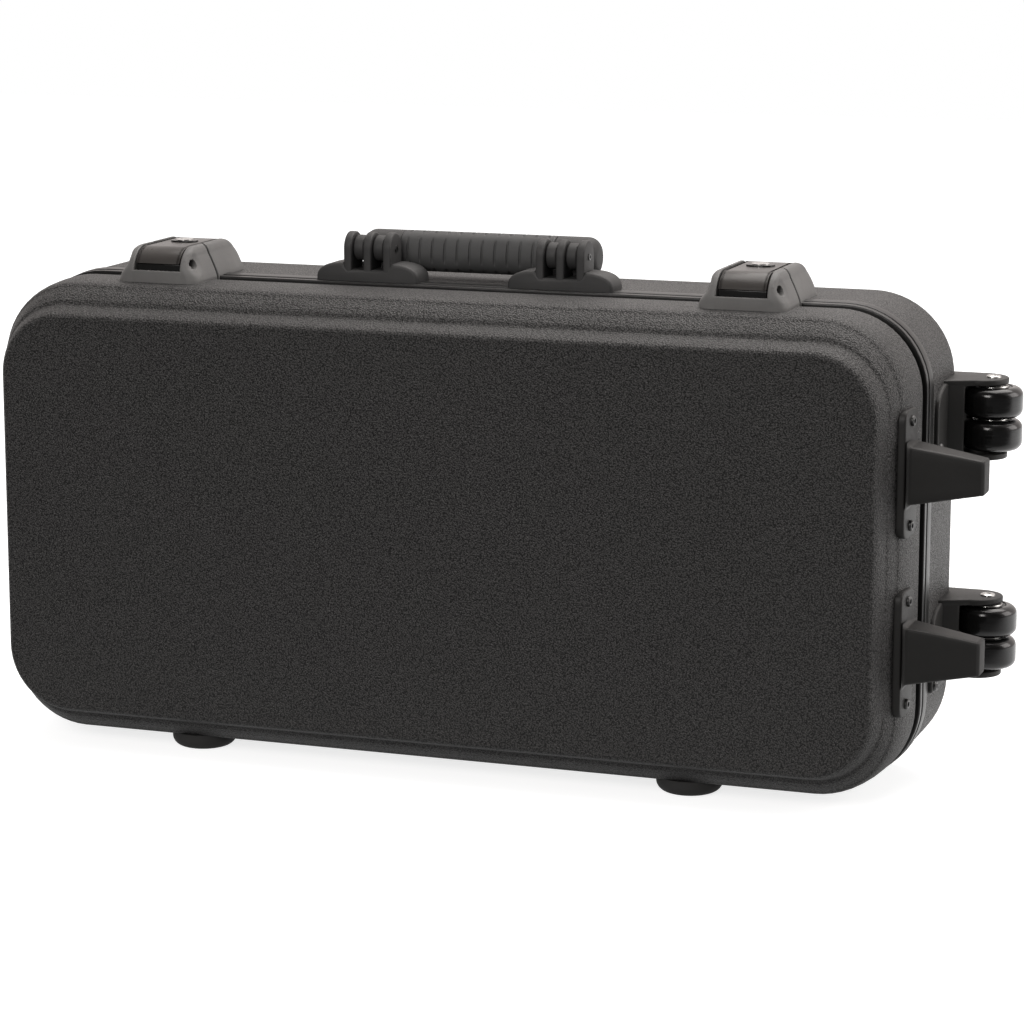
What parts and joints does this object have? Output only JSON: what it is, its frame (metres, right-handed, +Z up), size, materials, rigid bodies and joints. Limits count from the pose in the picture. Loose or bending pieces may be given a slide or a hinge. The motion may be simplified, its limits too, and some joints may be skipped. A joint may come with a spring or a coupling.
{
  "type": "hard case",
  "caption": "Moulded hard case with a hinged lid, over-centre latches with locks, a folding ribbed carry handle, rubber feet, stand-off legs and paired end wheels.",
  "frame": {"origin": "middle of the plan outline, on the plane under the feet", "axes": "+X along the length towards the wheels, +Y from the lid to the back of the base, +Z up with the handle on top"},
  "size_m": [0.755, 0.186, 0.3914],
  "materials": {
    "shell": "moulded, fine pebble grain",
    "valance": "satin",
    "seal": "matte",
    "lining": "short plush over foam",
    "foot_rubber": "matte",
    "fastener_steel": "zinc plated",
    "black_steel": "satin",
    "handle_plastic": "fine grain",
    "handle_rubber": "ribbed, matte",
    "latch_grey": "satin",
    "lever_dark": "satin",
    "trigger_black": "matte",
    "lock_chrome": "bright",
    "bracket_plastic": "satin",
    "wheel_tread": "gloss",
    "wheel_hub": "satin"
  },
  "bodies": {
    "base": {"base_shell": "shell", "base_valance": "valance", "valance_seal": "seal", "base_liner": "lining", "base_feet": "foot_rubber", "base_foot_screws": "fastener_steel", "left_hinge_base_leaf": "black_steel", "right_hinge_base_leaf": "black_steel", "hinge_pins": "fastener_steel", "hinge_base_rivets": "fastener_steel", "left_handle_bracket": "handle_plastic", "right_handle_bracket": "handle_plastic", "handle_pins": "black_steel", "handle_bracket_screws": "fastener_steel", "left_latch_rear_housing": "latch_grey", "right_latch_rear_housing": "latch_grey", "latch_lever_pins": "fastener_steel", "latch_base_screws": "fastener_steel", "upper_wheel_bracket": "bracket_plastic", "lower_wheel_bracket": "bracket_plastic", "wheel_axles": "fastener_steel", "wheel_bracket_screws": "black_steel"},
    "lid": {"lid_shell": "shell", "lid_valance": "valance", "lid_liner": "lining", "lid_feet": "foot_rubber", "lid_foot_screws": "fastener_steel", "left_hinge_lid_leaf": "black_steel", "right_hinge_lid_leaf": "black_steel", "hinge_lid_rivets": "fastener_steel", "left_latch_front_housing": "latch_grey", "right_latch_front_housing": "latch_grey", "left_latch_keeper": "black_steel", "right_latch_keeper": "black_steel", "latch_lid_screws": "fastener_steel", "upper_leg": "bracket_plastic", "lower_leg": "bracket_plastic", "leg_screws": "black_steel"},
    "handle": {"handle_core": "handle_plastic", "handle_grip": "handle_rubber"},
    "left_lever": {"left_latch_lever": "lever_dark", "left_trigger_pin": "fastener_steel", "left_trigger_spring": "fastener_steel"},
    "left_trigger": {"left_latch_trigger": "trigger_black"},
    "left_lock": {"left_lock_cylinder": "lock_chrome"},
    "right_lever": {"right_latch_lever": "lever_dark", "right_trigger_pin": "fastener_steel", "right_trigger_spring": "fastener_steel"},
    "right_trigger": {"right_latch_trigger": "trigger_black"},
    "right_lock": {"right_lock_cylinder": "lock_chrome"},
    "upper_top_wheel": {"upper_top_tyre": "wheel_tread", "upper_top_hub": "wheel_hub"},
    "upper_bottom_wheel": {"upper_bottom_tyre": "wheel_tread", "upper_bottom_hub": "wheel_hub"},
    "lower_top_wheel": {"lower_top_tyre": "wheel_tread", "lower_top_hub": "wheel_hub"},
    "lower_bottom_wheel": {"lower_bottom_tyre": "wheel_tread", "lower_bottom_hub": "wheel_hub"}
  },
  "joints": [
    {"name": "lid_hinge", "type": "hinge", "parent": "base", "child": "lid", "pos_m": [-0.0255, -0.013, 0.0051], "axis": [1, 0, 0], "range_deg": [0, 110]},
    {"name": "handle_swing", "type": "hinge", "parent": "base", "child": "handle", "pos_m": [-0.0255, 0.008, 0.3794], "axis": [1, 0, 0], "range_deg": [0, 95]},
    {"name": "left_latch_lift", "type": "hinge", "parent": "base", "child": "left_lever", "pos_m": [-0.251, 0.0235, 0.3715], "axis": [-1, 0, 0], "range_deg": [0, 95]},
    {"name": "left_trigger_press", "type": "hinge", "parent": "left_lever", "child": "left_trigger", "pos_m": [-0.251, -0.04, 0.369], "axis": [1, 0, 0], "range_deg": [0, 15], "stiffness_Nm_per_rad": 0.05},
    {"name": "left_lock_turn", "type": "hinge", "parent": "left_lever", "child": "left_lock", "pos_m": [-0.251, 0, 0.3755], "axis": [0, 0, 1], "range_deg": [0, 90]},
    {"name": "right_latch_lift", "type": "hinge", "parent": "base", "child": "right_lever", "pos_m": [0.2, 0.0235, 0.3715], "axis": [-1, 0, 0], "range_deg": [0, 95]},
    {"name": "right_trigger_press", "type": "hinge", "parent": "right_lever", "child": "right_trigger", "pos_m": [0.2, -0.04, 0.369], "axis": [1, 0, 0], "range_deg": [0, 15], "stiffness_Nm_per_rad": 0.05},
    {"name": "right_lock_turn", "type": "hinge", "parent": "right_lever", "child": "right_lock", "pos_m": [0.2, 0, 0.3755], "axis": [0, 0, 1], "range_deg": [0, 90]},
    {"name": "upper_top_spin", "type": "hinge", "parent": "base", "child": "upper_top_wheel", "pos_m": [0.3559, 0.071, 0.2793], "axis": [0, 0, 1], "continuous": true},
    {"name": "upper_bottom_spin", "type": "hinge", "parent": "base", "child": "upper_bottom_wheel", "pos_m": [0.3559, 0.071, 0.2555], "axis": [0, 0, 1], "continuous": true},
    {"name": "lower_top_spin", "type": "hinge", "parent": "base", "child": "lower_top_wheel", "pos_m": [0.3559, 0.071, 0.1179], "axis": [0, 0, 1], "continuous": true},
    {"name": "lower_bottom_spin", "type": "hinge", "parent": "base", "child": "lower_bottom_wheel", "pos_m": [0.3559, 0.071, 0.0941], "axis": [0, 0, 1], "continuous": true}
  ]
}
